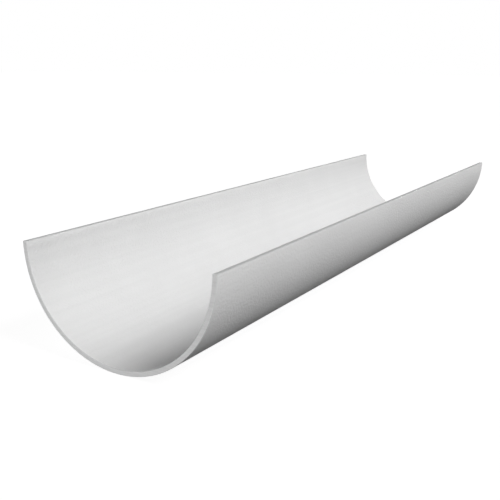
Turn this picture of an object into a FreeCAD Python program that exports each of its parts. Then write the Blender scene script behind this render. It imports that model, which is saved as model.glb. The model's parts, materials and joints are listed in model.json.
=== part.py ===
"""Half-round rainwater gutter: one short, straight length with plain ends.

It is a single extrusion in rigid PVC. The section is an even wall laid on an exact half circle
that opens upwards, with a flat lip along each side and no bead or return. Both ends are sawn
square to the length, and the sawn rims are scraped so that they don't cut a hand.

The gutter lies on its round back. +Y runs along it, +X across it from the left lip to the right
lip, and +Z up out of the open side. The origin is half way along the lowest line of the outside.
All sizes are in millimetres.
"""
import FreeCAD, Part
import math
import os

# Driving dimensions
outer_diameter = 160.0  # across the gutter, from the outside of one lip to the outside of the other
wall = 3.6              # the same all round the section
length = 600.0          # from one sawn end to the other
lip_rounding = 0.5      # radius that the extrusion die leaves on the long edges of both lips
end_scrape = 0.3        # width of the bevel scraped round each sawn end

# Dimensions that follow from them
outer_radius = outer_diameter / 2
inner_radius = outer_radius - wall
axis_height = outer_radius      # the half circles' centre, and so the top of both lips
largest_edge_cut = 0.3 * wall   # a rounding or a bevel leaves the lips and the ends a flat in the middle
largest_rounding = min(lip_rounding, largest_edge_cut)
largest_bevel = min(end_scrape, largest_edge_cut)

tolerance = 0.01  # how near an edge lies to the place where it is looked for


def half_circle(radius, y):
    """The lower half of a circle about the axis, from the left lip round the bottom to the right lip."""
    left = FreeCAD.Vector(-radius, y, axis_height)
    bottom = FreeCAD.Vector(0, y, axis_height - radius)
    right = FreeCAD.Vector(radius, y, axis_height)
    return Part.Arc(left, bottom, right).toShape()


def lip_line(side, y):
    """The flat top of one lip, across the wall. side is -1 for the left lip and 1 for the right one."""
    inner_corner = FreeCAD.Vector(side * inner_radius, y, axis_height)
    outer_corner = FreeCAD.Vector(side * outer_radius, y, axis_height)
    return Part.makeLine(inner_corner, outer_corner)


def section(y):
    """The cut wall as a face: two half circles about one axis, closed by the two lips."""
    outline = [half_circle(outer_radius, y), lip_line(1, y), half_circle(inner_radius, y), lip_line(-1, y)]
    return Part.Face(Part.Wire(outline))


def lip_edges(solid):
    """The four long edges of the lips: as long as the gutter, and at the height of the axis."""
    found = []
    for edge in solid.Edges:
        box = edge.BoundBox
        runs_along = box.YLength > length - tolerance
        at_the_top = box.ZMin > axis_height - tolerance
        if runs_along and at_the_top:
            found.append(edge)
    return found


def end_edges(solid):
    """Every edge round the two sawn ends: in a plane across the gutter, half the length from its middle."""
    found = []
    for edge in solid.Edges:
        box = edge.BoundBox
        across = box.YLength < tolerance
        at_an_end = abs(box.Center.y) > length / 2 - tolerance
        if across and at_an_end:
            found.append(edge)
    return found


def make_gutter():
    """The extruded section, with the edges of its lips rounded and then the rims of its ends scraped."""
    extrusion = section(-length / 2).extrude(FreeCAD.Vector(0, length, 0))
    rounded = extrusion.makeFillet(largest_rounding, lip_edges(extrusion))
    return rounded.makeChamfer(largest_bevel, end_edges(rounded))


def describe(name, solid):
    """Prints whether the solid is sound, how large it is and what it weighs in rigid PVC."""
    pvc_density = 1.4e-6  # kilograms per cubic millimetre
    plain_volume = math.pi / 2 * (outer_radius ** 2 - inner_radius ** 2) * length
    box = solid.BoundBox
    print(f"{name}: valid {solid.isValid()}, {len(solid.Solids)} solid, {len(solid.Faces)} faces")
    print(f"  {box.XLength:.2f} x {box.YLength:.2f} x {box.ZLength:.2f} mm, from z {box.ZMin:.3f}")
    print(f"  volume {solid.Volume:.0f} mm3, or {plain_volume:.0f} mm3 before its edges are broken")
    print(f"  mass {solid.Volume * pvc_density:.3f} kg")


os.makedirs("parts", exist_ok=True)
gutter = make_gutter()
gutter.exportStep("parts/gutter.step")
describe("gutter", gutter)
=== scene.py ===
import json
import math

import bmesh
import bpy
import numpy as np
from mathutils import Matrix, Vector


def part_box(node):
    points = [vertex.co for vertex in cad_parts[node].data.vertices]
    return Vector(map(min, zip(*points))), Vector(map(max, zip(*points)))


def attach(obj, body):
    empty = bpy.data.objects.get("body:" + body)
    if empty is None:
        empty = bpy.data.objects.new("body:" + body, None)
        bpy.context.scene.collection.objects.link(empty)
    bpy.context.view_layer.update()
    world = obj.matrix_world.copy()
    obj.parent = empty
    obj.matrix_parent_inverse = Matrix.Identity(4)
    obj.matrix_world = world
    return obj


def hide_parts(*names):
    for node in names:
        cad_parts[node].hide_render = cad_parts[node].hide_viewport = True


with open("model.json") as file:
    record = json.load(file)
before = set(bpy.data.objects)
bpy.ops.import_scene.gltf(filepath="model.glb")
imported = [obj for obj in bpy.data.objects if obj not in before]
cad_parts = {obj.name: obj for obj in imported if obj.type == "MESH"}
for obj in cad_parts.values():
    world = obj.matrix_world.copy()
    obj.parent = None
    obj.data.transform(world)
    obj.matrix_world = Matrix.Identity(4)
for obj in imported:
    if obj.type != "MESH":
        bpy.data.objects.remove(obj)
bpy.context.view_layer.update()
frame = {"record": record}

# A half-round gutter lying on its round back: one extruded wall, open at the top and at both ends.
# Metres, +Y along the gutter, +X across it, +Z up. Its radii and its length come from the frame.
mounts = {mount["name"]: mount for mount in frame["record"]["mounts"]}
outerRadius = mounts["bracket_seat"]["dims"]["r_mm"] / 1000
innerRadius = mounts["channel"]["dims"]["r_mm"] / 1000
axisHeight = mounts["channel"]["pos_m"][2]  # centre of both half circles, so the top of the lips
lowCorner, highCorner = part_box("gutter")
nearEnd, farEnd = lowCorner.y, highCorner.y
print("frame: radii", innerRadius, outerRadius, "length", round(farEnd - nearEnd, 4))

gutter = {
    "lipRounding": 0.0005,  # radius left by the die on the long edges of both lips
    "endScrape": 0.0003,    # bevel scraped round each sawn end
    "arcSteps": 90,         # steps round half the wall, about one a degree
    "roundingSteps": 6,     # steps round each lip edge
    "lengthSteps": 90,      # steps along the gutter
    "wallSteps": 6,         # steps across the wall, on the lips and on the sawn ends
    "sharpAngle": 30,       # degrees, a fold over this is drawn as an edge
    "mergeDistance": 1e-6,  # points this near are one point
}


def arcPoints(centre, radius, start, end, steps):
    # circle about centre: centre + radius * (cos a, sin a), with a from start to end in degrees
    angle = np.radians(np.linspace(start, end, steps + 1))
    return np.array(centre) + radius * np.column_stack([np.cos(angle), np.sin(angle)])


def wallChain(radius, side, inset):
    # One side of the wall as x and z from the axis, from the left lip round the bottom to the right
    # lip. side is 1 for the outside and -1 for the inside. The chain is a half circle of radius R,
    # with an arc of a small circle of radius r at each end: the lip's edge, which touches both the
    # lip and the wall. The small centre lies r below the lip and R - side * r from the axis, so
    # x = sqrt((R - side * r) ** 2 - r ** 2). An inset draws the chain that far inside the wall, and
    # moves no centre.
    rounding = gutter["lipRounding"]
    reach = radius - side * rounding
    centre = (math.sqrt(reach ** 2 - rounding ** 2), -rounding)
    tilt = math.degrees(math.asin(rounding / reach))
    facing = -tilt if side == 1 else 180 - tilt
    quarter = arcPoints((0, 0), radius - side * inset, -90, -tilt, gutter["arcSteps"])
    edge = arcPoints(centre, rounding - inset, facing, 90, gutter["roundingSteps"])
    right = np.vstack([quarter[:-1], edge])
    return np.vstack([right[::-1] * (-1, 1), right[1:]])


def acrossWall(outside, inside):
    # straight through the wall: point = (1 - w) * outside + w * inside, with w from 0 to 1
    w = np.linspace(0, 1, gutter["wallSteps"] + 1).reshape(-1, *[1] * outside.ndim)
    return (1 - w) * outside + w * inside


def wallOutline(inset):
    # the closed outline: the outside, the right lip, back along the inside, and the left lip
    outside, inside = wallChain(outerRadius, 1, inset), wallChain(innerRadius, -1, inset)
    rightLip, leftLip = acrossWall(outside[-1], inside[-1]), acrossWall(inside[0], outside[0])
    return np.vstack([outside[:-1], rightLip[:-1], inside[:0:-1], leftLip])


def standing(chain, y):
    # x and z from the axis become a point in space: (x, y, z + height of the axis)
    x, z = chain[..., 0], chain[..., 1]
    return np.stack([x, np.full(x.shape, y), z + axisHeight], axis=-1)


def gridFaces(rows, columns, first):
    # quads between neighbours in a grid of points that is numbered row by row from first
    corner = (np.arange(rows - 1)[:, None] * columns + np.arange(columns - 1)).ravel() + first
    return np.column_stack([corner, corner + 1, corner + columns + 1, corner + columns])


def buildWall():
    # Skin: the outline carried along y, as a grid of ring by point round the wall. The first and
    # last rings are inset, which leaves the scraped bevels.
    scrape = gutter["endScrape"]
    rings = np.linspace(nearEnd + scrape, farEnd - scrape, gutter["lengthSteps"] + 1)
    full, scraped = wallOutline(0), wallOutline(scrape)
    between = [standing(full, y) for y in rings]
    skin = np.array([standing(scraped, nearEnd), *between, standing(scraped, farEnd)])
    # Sawn ends: the band between the sides of the wall, which meets the scraped outline all round.
    band = acrossWall(wallChain(outerRadius, 1, scrape), wallChain(innerRadius, -1, scrape))

    points, faces = [], []
    for grid in (skin, standing(band, nearEnd), standing(band, farEnd)):
        faces.append(gridFaces(grid.shape[0], grid.shape[1], sum(len(p) for p in points)))
        points.append(grid.reshape(-1, 3))
    # material 0 is the extruded skin, 1 the sawn ends with their bevels
    skinMaterial = np.zeros(len(faces[0]), int)
    perRing = len(full) - 1
    skinMaterial[:perRing] = 1
    skinMaterial[-perRing:] = 1
    endMaterial = np.ones(len(faces[1]) + len(faces[2]), int)

    mesh = bpy.data.meshes.new("gutter_wall")
    mesh.from_pydata(np.vstack(points).tolist(), [], np.vstack(faces).tolist())
    mesh.polygons.foreach_set("material_index", np.concatenate([skinMaterial, endMaterial]))
    shell = bmesh.new()
    shell.from_mesh(mesh)
    # closes the seam along the left lip and the rims of the ends, then turns every face outwards
    bmesh.ops.remove_doubles(shell, verts=shell.verts, dist=gutter["mergeDistance"])
    bmesh.ops.recalc_face_normals(shell, faces=shell.faces)
    shell.to_mesh(mesh)
    shell.free()
    mesh.polygons.foreach_set("use_smooth", np.ones(len(mesh.polygons), bool))
    mesh.set_sharp_from_angle(angle=math.radians(gutter["sharpAngle"]))
    piece = bpy.data.objects.new("gutter_wall", mesh)
    bpy.context.scene.collection.objects.link(piece)
    return piece


gutterWall = buildWall()
print("wall:", len(gutterWall.data.polygons), "faces")


def linear(hexColour):
    # sRGB hex to linear: c / 12.92 near black, ((c + 0.055) / 1.055) to the power 2.4 above it
    channels = np.array([int(hexColour[i:i + 2], 16) for i in (1, 3, 5)]) / 255
    curve = np.where(channels <= 0.04045, channels / 12.92, ((channels + 0.055) / 1.055) ** 2.4)
    return (*curve, 1.0)


def addNode(tree, kind, inputs=None, **settings):
    # One node: inputs are values, or the outputs that feed its sockets, and settings are its own
    # properties. Sockets go by name or by number. A Mix node repeats names, so its colours are
    # inputs 6 and 7, and the mixed colour is output 2.
    node = tree.nodes.new(kind)
    for name, value in settings.items():
        setattr(node, name, value)
    for socket, value in (inputs or {}).items():
        if isinstance(value, bpy.types.NodeSocket):
            tree.links.new(value, node.inputs[socket])
        else:
            node.inputs[socket].default_value = value
    return node


def emptyTree(holder):
    # the node tree of a new material or world, with nothing in it
    holder.use_nodes = True
    holder.node_tree.nodes.clear()
    return holder.node_tree


extruded = {
    "colour": "#E8E8E8",
    "streakColour": "#E5E5E5",  # where the die dragged
    "rubbedColour": "#CECECE",  # painted shade on the tops of the lips
    "rubbedDepth": 0.0006,      # how far the painted shade reaches below the top of a lip
    "rubbedFull": 0.0002,       # and how far it is at its full strength
    "streakWidth": 0.004,       # real die lines are about 0.5 mm apart, drawn wider to show
    "streakLength": 0.9,        # longer than the gutter, so a line changes little along it
    "streakDetail": 3,          # finer lines added to the first
    "streakBreakup": 0.6,       # how strong the finer lines are
    "streakHeight": 0.000004,   # how far a line stands out
    "streakRange": (0.3, 0.7),  # streak noise at which the skin is smoothest and roughest
    "driftSize": 0.05,          # slow change of tone, from uneven cooling
    "driftDetail": 2,           # smaller patches added to the first
    "toneRange": (0.16, 0.36),  # streaks times drift, where the skin has streakColour and colour
    "grainSize": 0.0016,        # matt grain, really a tenth of this, drawn coarser to show
    "grainDetail": 1,           # finer grain added to the first
    "grainHeight": 0.0004,      # drawn far higher than real, for the same reason
    "roughness": (0.74, 0.86),  # smoothest and roughest
    "ior": 1.53,                # rigid PVC
    "specular": 0.06,           # a matt skin, which shines less than PVC fresh from the die
}


def extrudedPvc():
    # Rigid PVC pushed through a die and cooled in water: an even, matt, pale grey with a fine
    # grain, faint lines that run the whole length, a very slow drift of tone, and painted shade
    # that greys the lips.
    material = bpy.data.materials.new("extruded rigid PVC")
    tree = emptyTree(material)
    place = addNode(tree, "ShaderNodeTexCoord").outputs["Object"]

    across, along = 1 / extruded["streakWidth"], 1 / extruded["streakLength"]
    stretched = addNode(tree, "ShaderNodeMapping", {
        "Vector": place, "Scale": (across, along, across)})
    streaks = addNode(tree, "ShaderNodeTexNoise", {
        "Vector": stretched.outputs[0], "Scale": 1, "Detail": extruded["streakDetail"],
        "Roughness": extruded["streakBreakup"]})
    drift = addNode(tree, "ShaderNodeTexNoise", {
        "Vector": place, "Scale": 1 / extruded["driftSize"], "Detail": extruded["driftDetail"]})
    grain = addNode(tree, "ShaderNodeTexNoise", {
        "Vector": place, "Scale": 1 / extruded["grainSize"], "Detail": extruded["grainDetail"]})

    darkest, palest = extruded["toneRange"]
    marks = addNode(tree, "ShaderNodeMath", {
        0: streaks.outputs[0], 1: drift.outputs[0]}, operation="MULTIPLY")
    toned = addNode(tree, "ShaderNodeMapRange", {
        "Value": marks.outputs[0], "From Min": darkest, "From Max": palest})
    skinColour = addNode(tree, "ShaderNodeMix", {
        "Factor": toned.outputs[0],
        6: linear(extruded["streakColour"]), 7: linear(extruded["colour"])}, data_type="RGBA")
    height = addNode(tree, "ShaderNodeSeparateXYZ", {0: place})
    # painted shade: the tops of the lips are drawn greyer than the wall
    onLip = addNode(tree, "ShaderNodeMapRange", {
        "Value": height.outputs["Z"], "From Min": axisHeight - extruded["rubbedDepth"],
        "From Max": axisHeight - extruded["rubbedFull"]})
    colour = addNode(tree, "ShaderNodeMix", {
        "Factor": onLip.outputs[0],
        6: skinColour.outputs[2], 7: linear(extruded["rubbedColour"])}, data_type="RGBA")

    lowest, highest = extruded["streakRange"]
    smoothest, roughest = extruded["roughness"]
    roughness = addNode(tree, "ShaderNodeMapRange", {
        "Value": streaks.outputs[0], "From Min": lowest, "From Max": highest,
        "To Min": smoothest, "To Max": roughest})
    ridges = addNode(tree, "ShaderNodeBump", {
        "Height": streaks.outputs[0], "Distance": extruded["streakHeight"]})
    relief = addNode(tree, "ShaderNodeBump", {
        "Height": grain.outputs[0], "Distance": extruded["grainHeight"],
        "Normal": ridges.outputs[0]})
    shader = addNode(tree, "ShaderNodeBsdfPrincipled", {
        "Base Color": colour.outputs[2], "Roughness": roughness.outputs[0],
        "Normal": relief.outputs[0], "IOR": extruded["ior"],
        "Specular IOR Level": extruded["specular"]})
    addNode(tree, "ShaderNodeOutputMaterial", {"Surface": shader.outputs[0]})
    return material


sawn = {
    "colour": "#ECECEC",
    "scratchColour": "#E3E3E3",    # bottom of a scratch
    "rimColour": "#CDCDCD",        # painted shade on the scraped bevels, as on the lips
    "rimFade": 0.25,               # share of a bevel, next to the end, over which that grey fades
    "scratchWidth": 0.0012,        # real teeth leave lines about 0.3 mm apart, drawn wider to show
    "scratchLength": 0.03,         # how far a scratch runs before it changes
    "scratchDetail": 4,            # finer scratches added to the first
    "scratchBreakup": 0.65,        # how strong the finer scratches are
    "scratchDepth": 0.00002,       # how far a scratch is cut in
    "scratchRange": (0.35, 0.65),  # scratch noise at the bottom of a scratch and beside it
    "roughness": (0.8, 0.9),       # smoothest and roughest
    "ior": 1.53,                   # rigid PVC
    "specular": 0.06,              # as matt as the skin
}


def sawnPvc():
    # The same PVC where the saw went straight down through it: level scratches, rougher than the
    # skin, with bevels that a scraper left, greyed with painted shade.
    material = bpy.data.materials.new("sawn rigid PVC")
    tree = emptyTree(material)
    place = addNode(tree, "ShaderNodeTexCoord").outputs["Object"]

    across, along = 1 / sawn["scratchWidth"], 1 / sawn["scratchLength"]
    stretched = addNode(tree, "ShaderNodeMapping", {
        "Vector": place, "Scale": (along, across, across)})
    scratches = addNode(tree, "ShaderNodeTexNoise", {
        "Vector": stretched.outputs[0], "Scale": 1, "Detail": sawn["scratchDetail"],
        "Roughness": sawn["scratchBreakup"]})
    lowest, highest = sawn["scratchRange"]
    height = addNode(tree, "ShaderNodeMapRange", {
        "Value": scratches.outputs[0], "From Min": lowest, "From Max": highest})
    endColour = addNode(tree, "ShaderNodeMix", {
        "Factor": height.outputs[0],
        6: linear(sawn["scratchColour"]), 7: linear(sawn["colour"])}, data_type="RGBA")

    # 0 on an end and 1 on its bevel, with a fade between them. Both ends lie equally far from the
    # middle, so one distance serves for both.
    lengthwise = addNode(tree, "ShaderNodeSeparateXYZ", {0: place})
    fromMiddle = addNode(tree, "ShaderNodeMath", {0: lengthwise.outputs["Y"]}, operation="ABSOLUTE")
    onBevel = addNode(tree, "ShaderNodeMapRange", {
        "Value": fromMiddle.outputs[0], "From Min": farEnd - gutter["endScrape"] * sawn["rimFade"],
        "From Max": farEnd, "To Min": 1, "To Max": 0})
    # painted shade: the bevels are drawn grey, in place of the light line the lamps leave on them
    colour = addNode(tree, "ShaderNodeMix", {
        "Factor": onBevel.outputs[0],
        6: endColour.outputs[2], 7: linear(sawn["rimColour"])}, data_type="RGBA")

    smoothest, roughest = sawn["roughness"]
    roughness = addNode(tree, "ShaderNodeMapRange", {
        "Value": height.outputs[0], "To Min": roughest, "To Max": smoothest})
    relief = addNode(tree, "ShaderNodeBump", {
        "Height": height.outputs[0], "Distance": sawn["scratchDepth"]})
    shader = addNode(tree, "ShaderNodeBsdfPrincipled", {
        "Base Color": colour.outputs[2], "Roughness": roughness.outputs[0],
        "Normal": relief.outputs[0], "IOR": sawn["ior"], "Specular IOR Level": sawn["specular"]})
    addNode(tree, "ShaderNodeOutputMaterial", {"Surface": shader.outputs[0]})
    return material


gutterWall.data.materials.append(extrudedPvc())
gutterWall.data.materials.append(sawnPvc())
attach(gutterWall, "root")
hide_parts("gutter")
print("finishes:", [material.name for material in gutterWall.data.materials])

studio = {
    "floorSize": 30.0,          # its edges lie near the horizon, where white meets white
    "floorGlow": 0.9,           # white that the floor shows before any lamp reaches it
    "floorShading": "#7F7F7F",  # what the lamps add to that, and so how strong a shadow is
    "floorBounce": "#242424",   # the floor as the gutter feels it, dark so the underside stays dark
    "ambient": 0.04,            # even light from all sides, which fills the shadows a little
}


def shownNotLit(tree):
    # 1 on rays that show a thing, straight, in a gloss or through glass, and 0 on rays that carry
    # its light elsewhere
    path = addNode(tree, "ShaderNodeLightPath")
    shown = addNode(tree, "ShaderNodeMath", {
        0: path.outputs["Is Camera Ray"], 1: path.outputs["Is Glossy Ray"]}, operation="MAXIMUM")
    shown = addNode(tree, "ShaderNodeMath", {
        0: shown.outputs[0], 1: path.outputs["Is Transmission Ray"]}, operation="MAXIMUM")
    return shown.outputs[0]


def buildFloor():
    half = studio["floorSize"] / 2
    mesh = bpy.data.meshes.new("floor")
    corners = [(-half, -half, 0), (half, -half, 0), (half, half, 0), (-half, half, 0)]
    mesh.from_pydata(corners, [], [(0, 1, 2, 3)])
    material = bpy.data.materials.new("white paper floor")
    tree = emptyTree(material)
    glow = addNode(tree, "ShaderNodeEmission", {"Strength": studio["floorGlow"]})
    shading = addNode(tree, "ShaderNodeBsdfDiffuse", {"Color": linear(studio["floorShading"])})
    shown = addNode(tree, "ShaderNodeAddShader", {0: glow.outputs[0], 1: shading.outputs[0]})
    bounce = addNode(tree, "ShaderNodeBsdfDiffuse", {"Color": linear(studio["floorBounce"])})
    mixed = addNode(tree, "ShaderNodeMixShader", {
        0: shownNotLit(tree), 1: bounce.outputs[0], 2: shown.outputs[0]})
    addNode(tree, "ShaderNodeOutputMaterial", {"Surface": mixed.outputs[0]})
    mesh.materials.append(material)
    floor = bpy.data.objects.new("floor", mesh)
    bpy.context.scene.collection.objects.link(floor)
    return floor


def buildBackground():
    world = bpy.data.worlds.new("white studio")
    tree = emptyTree(world)
    ambient = addNode(tree, "ShaderNodeBackground", {
        "Color": (1, 1, 1, 1), "Strength": studio["ambient"]})
    white = addNode(tree, "ShaderNodeBackground", {"Color": (1, 1, 1, 1), "Strength": 1})
    mixed = addNode(tree, "ShaderNodeMixShader", {
        0: shownNotLit(tree), 1: ambient.outputs[0], 2: white.outputs[0]})
    addNode(tree, "ShaderNodeOutputWorld", {"Surface": mixed.outputs[0]})
    return world


buildFloor()
bpy.context.scene.world = buildBackground()
print("studio: white floor and background")

# Azimuth 0 is in front, towards -Y, and 90 on the right, towards +X. Level is the light that a
# surface facing the lamp gets, where 1 shows its colour as written. Softness is the lamp's width in
# degrees. The front fill casts no shadow, because it has to reach the channel past the right wall.
lamps = {
    "key_lamp": {"azimuth": 90, "elevation": 45, "softness": 28, "level": 0.48, "shadow": True},
    "front_fill": {"azimuth": 27, "elevation": 20, "softness": 8, "level": 0.67, "shadow": False},
    "side_fill": {"azimuth": 90, "elevation": 1, "softness": 2, "level": 0.09, "shadow": True},
    "left_fill": {"azimuth": 270, "elevation": 1, "softness": 2, "level": 0.65, "shadow": True},
    "rear_fill": {"azimuth": 180, "elevation": 1, "softness": 2, "level": 0.6, "shadow": True},
}


def direction(azimuth, elevation):
    # unit vector from the object out to a lamp or the camera: (sin a cos e, -cos a cos e, sin e)
    a, e = math.radians(azimuth), math.radians(elevation)
    return Vector((math.sin(a) * math.cos(e), -math.cos(a) * math.cos(e), math.sin(e)))


for name, lamp in lamps.items():
    sun = bpy.data.lights.new(name, "SUN")
    sun.energy = math.pi * lamp["level"]  # a sun of pi shows a matt surface at its own colour
    sun.angle = math.radians(lamp["softness"])
    sun.use_shadow = lamp["shadow"]
    holder = bpy.data.objects.new(name, sun)
    towards = direction(lamp["azimuth"], lamp["elevation"])
    holder.rotation_euler = towards.to_track_quat("Z", "Y").to_euler()
    bpy.context.scene.collection.objects.link(holder)
print("lamps:", list(lamps))

camera = {
    "standOff": (0.3052, -0.3345, 0.1166),  # metres from the middle of the near end, at lip height
    "azimuth": 30.75,                       # degrees, as for the lamps
    "elevation": 14.37,
    "roll": 0.28,                           # degrees about the line of sight
    "lens": 52.44,                          # millimetres, as is the sensor
    "sensor": 36,
    "shift": (-0.013, 0.005),               # sideways and up, as a share of the view's width
}


def placeCamera():
    data = bpy.data.cameras.new("camera")
    data.lens = camera["lens"]
    data.sensor_width = camera["sensor"]
    data.shift_x, data.shift_y = camera["shift"]
    viewer = bpy.data.objects.new("camera", data)
    place = Vector((0, nearEnd, axisHeight)) + Vector(camera["standOff"])
    towards = direction(camera["azimuth"], camera["elevation"])
    facing = towards.to_track_quat("Z", "Y").to_matrix().to_4x4()
    roll = Matrix.Rotation(math.radians(camera["roll"]), 4, "Z")
    viewer.matrix_world = Matrix.Translation(place) @ facing @ roll
    bpy.context.scene.collection.objects.link(viewer)
    return viewer


bpy.context.scene.camera = placeCamera()
bpy.context.scene.view_settings.view_transform = "Standard"
print("camera: lens", camera["lens"], "mm")
